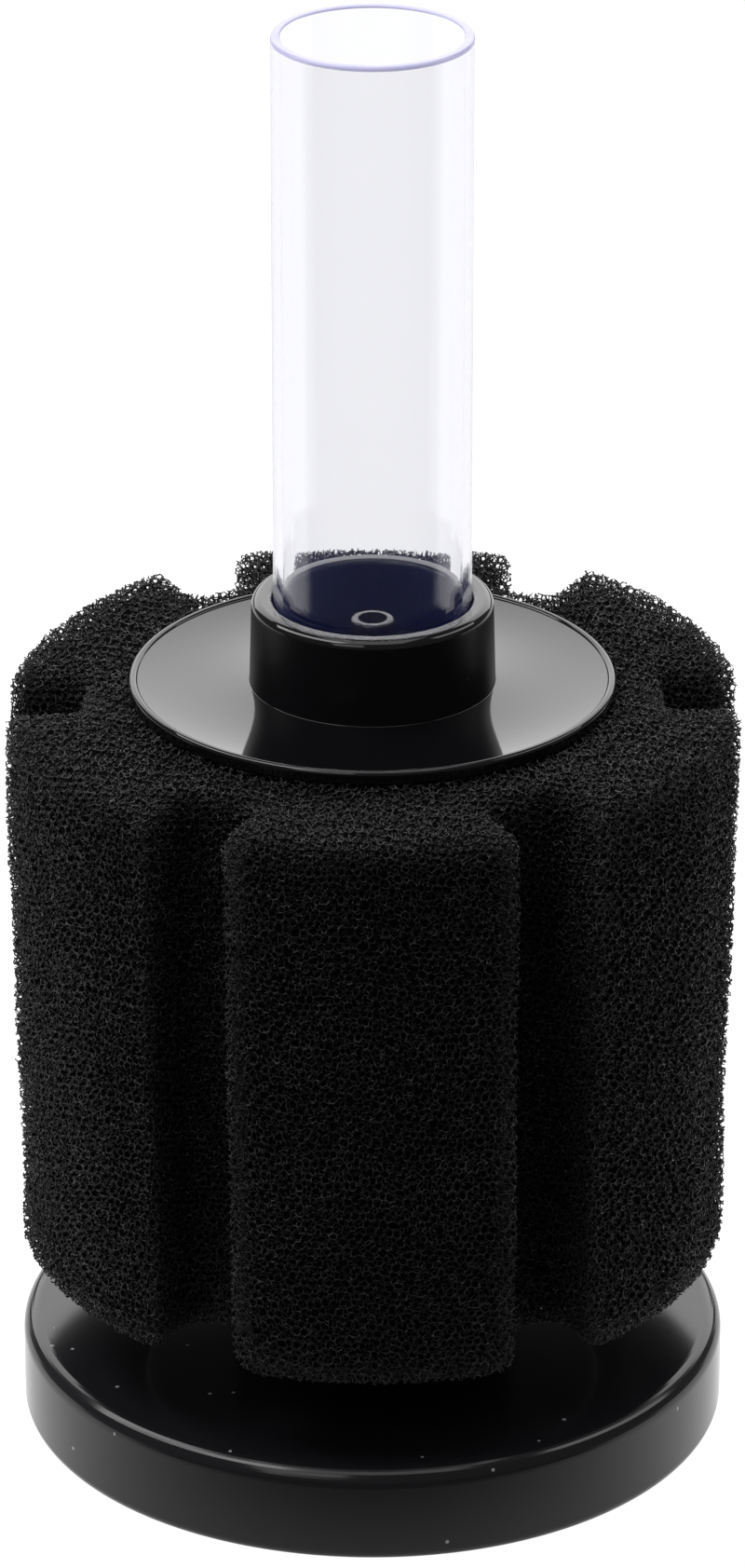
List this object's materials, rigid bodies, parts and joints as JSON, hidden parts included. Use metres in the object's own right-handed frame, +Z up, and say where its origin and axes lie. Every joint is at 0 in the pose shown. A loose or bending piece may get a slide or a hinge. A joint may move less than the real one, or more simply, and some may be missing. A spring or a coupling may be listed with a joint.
{
  "type": "sponge filter",
  "caption": "Air-driven aquarium sponge filter: weighted round base, grooved foam cylinder on a slotted core, black cap with a collar and a clear lift tube.",
  "frame": {"origin": "centre of the base's underside, on the surface that the filter stands on", "axes": "+Z up along the lift tube, -Y the front, where one foam lobe faces; +X to the right"},
  "size_m": [0.1168, 0.118, 0.2392],
  "materials": {
    "black_moulding": "satin black moulding",
    "gloss_cap": "glossy black moulding",
    "ballast": "plain casting, sealed inside the base",
    "foam": "coarse black open-cell foam",
    "clear_tube": "clear acrylic with a faint violet edge tint"
  },
  "bodies": {
    "root": {"base_shell": "black_moulding", "base_floor_plate": "black_moulding", "ballast_ring": "ballast", "lower_disc": "black_moulding", "core_tube": "black_moulding"},
    "sponge_body": {"sponge": "foam"},
    "cap_body": {"top_cap": "gloss_cap", "air_nozzle": "gloss_cap", "air_diffuser": "black_moulding"},
    "tube_body": {"lift_tube": "clear_tube"}
  },
  "joints": [
    {"name": "sponge_lift_off", "type": "slide", "parent": "root", "child": "sponge_body", "axis": [0, 0, 1], "range_m": [0, 0.11]},
    {"name": "cap_lift_off", "type": "slide", "parent": "sponge_body", "child": "cap_body", "axis": [0, 0, 1], "range_m": [0, 0.045]},
    {"name": "tube_pull_out", "type": "slide", "parent": "cap_body", "child": "tube_body", "axis": [0, 0, 1], "range_m": [0, 0.025]}
  ]
}
